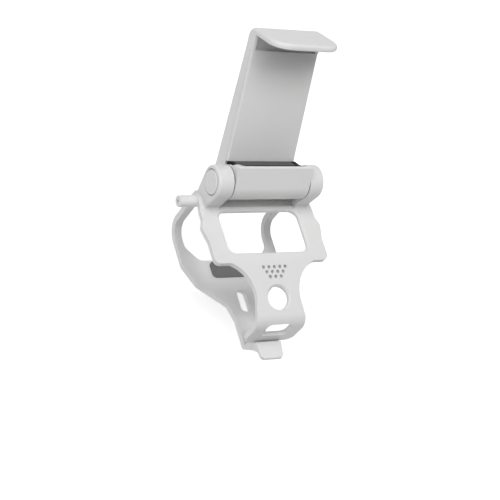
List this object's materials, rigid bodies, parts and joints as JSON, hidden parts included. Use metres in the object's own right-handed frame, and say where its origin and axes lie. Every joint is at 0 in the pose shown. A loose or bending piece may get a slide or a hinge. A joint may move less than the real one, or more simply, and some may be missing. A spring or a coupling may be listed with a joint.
{
  "type": "phone clip for a hand-held game controller",
  "caption": "White plastic clip that clamps round a game controller, with a tilting, spring-closed phone holder above its touch window.",
  "frame": {"origin": "middle of the touch window, on the front face of the plate", "axes": "+Z out of the plate, +X along the hinge of the phone holder, +Y up the plate towards that hinge"},
  "size_m": [0.0724, 0.1242, 0.1172],
  "materials": {
    "white_plastic": "satin moulded",
    "black_rubber": "matte",
    "grey_foam": "closed-cell foam",
    "steel": "bright zinc"
  },
  "bodies": {
    "plate": {"faceplate": "white_plastic", "hinge_cap_left": "white_plastic", "hinge_cap_right": "white_plastic", "hinge_bolt": "steel", "hinge_nut": "steel", "friction_washer_left": "black_rubber", "friction_washer_right": "black_rubber", "bracket_pin_left": "steel", "bracket_pin_right": "steel", "face_strips": "grey_foam"},
    "holder": {"lower_jaw": "white_plastic", "shelf_pad": "black_rubber", "stem": "white_plastic", "stem_screws": "steel", "spring_anchor_left": "steel", "spring_anchor_right": "steel", "spring_left": "steel", "spring_right": "steel"},
    "slider": {"arm": "white_plastic", "arm_cover": "white_plastic", "arm_screws": "steel", "spring_bar": "steel", "jaw_pad": "black_rubber"},
    "bracket": {"rear_bracket": "white_plastic", "twist_spring_left": "steel", "twist_spring_right": "steel", "back_pad": "grey_foam"}
  },
  "joints": [
    {"name": "holder_tilt", "type": "hinge", "parent": "plate", "child": "holder", "pos_m": [0, 0.0195, 0.0125], "axis": [1, 0, 0], "range_deg": [-30, 50]},
    {"name": "arm_slide", "type": "slide", "parent": "holder", "child": "slider", "axis": [0, 0.5592, 0.829], "range_m": [0, 0.026], "stiffness_N_per_m": 100, "springref_m": -0.04},
    {"name": "bracket_swing", "type": "hinge", "parent": "plate", "child": "bracket", "pos_m": [0, 0.0188, -0.003], "axis": [1, 0, 0], "range_deg": [0, 30], "stiffness_Nm_per_rad": 0.3, "springref_deg": -34.38}
  ]
}
